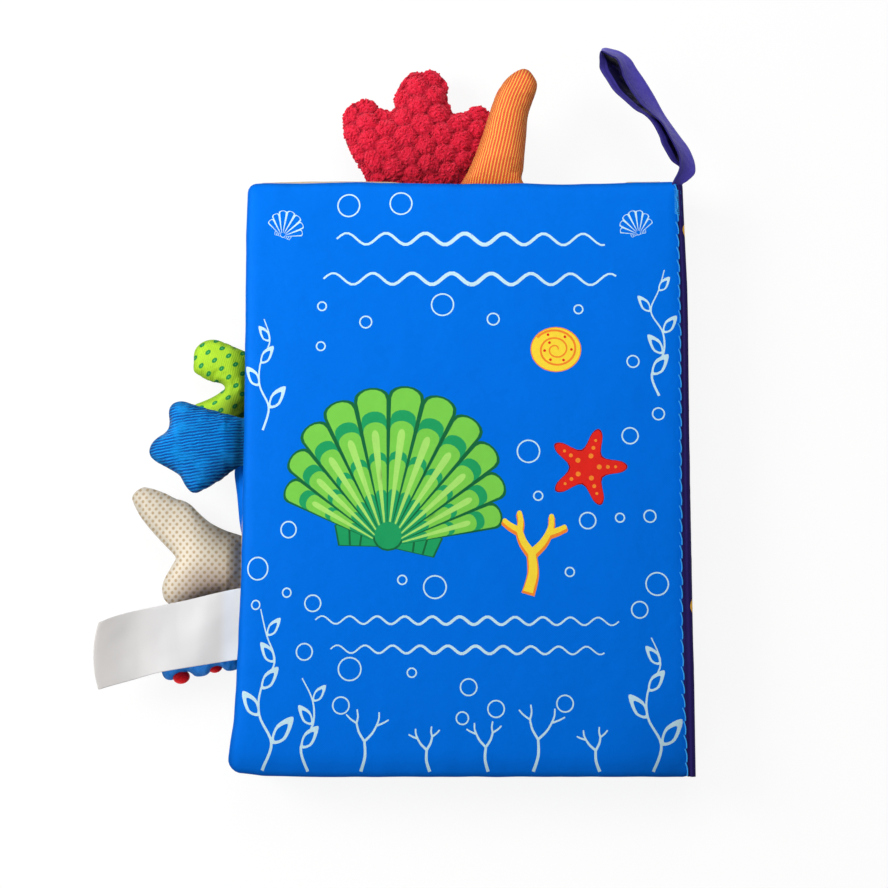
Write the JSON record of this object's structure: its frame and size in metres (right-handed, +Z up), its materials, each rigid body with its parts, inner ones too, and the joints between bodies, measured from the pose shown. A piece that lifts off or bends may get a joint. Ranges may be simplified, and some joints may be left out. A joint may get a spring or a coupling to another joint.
{
  "type": "crinkle cloth book",
  "caption": "Closed padded cloth book whose leaves open along a sewn spine, with stuffed tails, a care label and a ribbon strap sewn into its edges.",
  "frame": {"origin": "centre of the front cover's flat underside, on which the closed book lies", "axes": "+X towards the spine, +Y towards the book's head, +Z up from the front cover to the back cover"},
  "size_m": [0.2339, 0.2883, 0.0311],
  "materials": {
    "cover_cloth": "printed satin-faced polyester",
    "page_cloth": "printed satin-faced polyester",
    "spine_cloth": "printed navy polyester",
    "thread": "twisted sewing thread",
    "wadding": "polyester wadding",
    "crinkle_film": "thin clear film",
    "bobble_plush": "red bobble plush",
    "striped_cloth": "orange cloth with narrow yellow stripes",
    "dotted_cloth": "lime velour with green dots",
    "ribbed_satin": "blue satin with sewn ribs",
    "spotted_cloth": "cream velour with ochre dots",
    "tentacle_cloth": "blue velour over a red underside",
    "label_satin": "white satin label ribbon",
    "strap_satin": "purple satin ribbon"
  },
  "bodies": {
    "front_cover_body": {"front_cover_outer_panel": "cover_cloth", "front_cover_inner_panel": "cover_cloth", "front_cover_wadding": "wadding", "front_cover_crinkle_film": "crinkle_film", "front_cover_spine_strip": "spine_cloth", "front_cover_seam_thread": "thread"},
    "leaf_1_body": {"leaf_1_lower_page": "page_cloth", "leaf_1_upper_page": "page_cloth", "leaf_1_wadding": "wadding", "leaf_1_crinkle_film": "crinkle_film", "leaf_1_spine_strip": "spine_cloth", "leaf_1_seam_thread": "thread"},
    "leaf_2_body": {"leaf_2_lower_page": "page_cloth", "leaf_2_upper_page": "page_cloth", "leaf_2_wadding": "wadding", "leaf_2_crinkle_film": "crinkle_film", "leaf_2_spine_strip": "spine_cloth", "leaf_2_seam_thread": "thread"},
    "leaf_3_body": {"leaf_3_lower_page": "page_cloth", "leaf_3_upper_page": "page_cloth", "leaf_3_wadding": "wadding", "leaf_3_crinkle_film": "crinkle_film", "leaf_3_spine_strip": "spine_cloth", "leaf_3_seam_thread": "thread"},
    "back_cover_body": {"back_cover_inner_panel": "cover_cloth", "back_cover_outer_panel": "cover_cloth", "back_cover_wadding": "wadding", "back_cover_crinkle_film": "crinkle_film", "back_cover_spine_strip": "spine_cloth", "back_cover_seam_thread": "thread"},
    "bobble_fan_tail_body": {"bobble_fan_tail_skin": "bobble_plush", "bobble_fan_tail_filling": "wadding"},
    "striped_curved_tail_body": {"striped_curved_tail_skin": "striped_cloth", "striped_curved_tail_filling": "wadding"},
    "dotted_forked_tail_body": {"dotted_forked_tail_skin": "dotted_cloth", "dotted_forked_tail_filling": "wadding"},
    "ribbed_star_tail_body": {"ribbed_star_tail_skin": "ribbed_satin", "ribbed_star_tail_filling": "wadding"},
    "spotted_fluke_tail_body": {"spotted_fluke_tail_skin": "spotted_cloth", "spotted_fluke_tail_filling": "wadding"},
    "sucker_tentacle_tail_body": {"sucker_tentacle_tail_skin": "tentacle_cloth", "sucker_tentacle_tail_filling": "wadding"},
    "care_label_body": {"care_label": "label_satin"},
    "strap_loop_body": {"strap_loop": "strap_satin"}
  },
  "joints": [
    {"name": "leaf_1_opening", "type": "hinge", "parent": "front_cover_body", "child": "leaf_1_body", "pos_m": [0.08957, 0, 0.0053], "axis": [0, 1, 0], "range_deg": [0, 80]},
    {"name": "leaf_2_opening", "type": "hinge", "parent": "leaf_1_body", "child": "leaf_2_body", "pos_m": [0.08991, 0, 0.0109], "axis": [0, 1, 0], "range_deg": [0, 40]},
    {"name": "leaf_3_opening", "type": "hinge", "parent": "leaf_2_body", "child": "leaf_3_body", "pos_m": [0.08991, 0, 0.0165], "axis": [0, 1, 0], "range_deg": [0, 40]},
    {"name": "back_cover_opening", "type": "hinge", "parent": "leaf_3_body", "child": "back_cover_body", "pos_m": [0.08957, 0, 0.0221], "axis": [0, 1, 0], "range_deg": [0, 175]},
    {"name": "bobble_fan_tail_flex", "type": "hinge", "parent": "leaf_2_body", "child": "bobble_fan_tail_body", "pos_m": [-0.01949, 0.1154, 0.0137], "axis": [1, 0, 0], "range_deg": [-45, 0], "stiffness_Nm_per_rad": 0.02, "springref_deg": 14.32},
    {"name": "striped_curved_tail_flex", "type": "hinge", "parent": "leaf_3_body", "child": "striped_curved_tail_body", "pos_m": [0.01179, 0.1154, 0.0193], "axis": [1, 0, 0], "range_deg": [0, 45], "stiffness_Nm_per_rad": 0.01},
    {"name": "dotted_forked_tail_flex", "type": "hinge", "parent": "leaf_1_body", "child": "dotted_forked_tail_body", "pos_m": [-0.0879, 0.0365, 0.0081], "axis": [0, 1, 0], "range_deg": [-45, 0], "stiffness_Nm_per_rad": 0.01, "springref_deg": 14.32},
    {"name": "ribbed_star_tail_flex", "type": "hinge", "parent": "leaf_3_body", "child": "ribbed_star_tail_body", "pos_m": [-0.0879, 0.0124, 0.0193], "axis": [0, 1, 0], "range_deg": [0, 45], "stiffness_Nm_per_rad": 0.01},
    {"name": "spotted_fluke_tail_flex", "type": "hinge", "parent": "leaf_2_body", "child": "spotted_fluke_tail_body", "pos_m": [-0.0879, -0.03399, 0.0137], "axis": [0, 1, 0], "range_deg": [-45, 0], "stiffness_Nm_per_rad": 0.015, "springref_deg": 14.32},
    {"name": "sucker_tentacle_tail_flex", "type": "hinge", "parent": "leaf_1_body", "child": "sucker_tentacle_tail_body", "pos_m": [-0.0879, -0.06721, 0.0081], "axis": [0, 1, 0], "range_deg": [-45, 0], "stiffness_Nm_per_rad": 0.01, "springref_deg": 14.32},
    {"name": "care_label_flex", "type": "hinge", "parent": "leaf_3_body", "child": "care_label_body", "pos_m": [-0.0879, -0.0586, 0.0193], "axis": [0, 1, 0], "range_deg": [0, 80], "stiffness_Nm_per_rad": 0.001},
    {"name": "strap_loop_flex", "type": "hinge", "parent": "back_cover_body", "child": "strap_loop_body", "pos_m": [0.083, 0.1154, 0.0249], "axis": [1, 0, 0], "range_deg": [-45, 45], "stiffness_Nm_per_rad": 0.005}
  ]
}
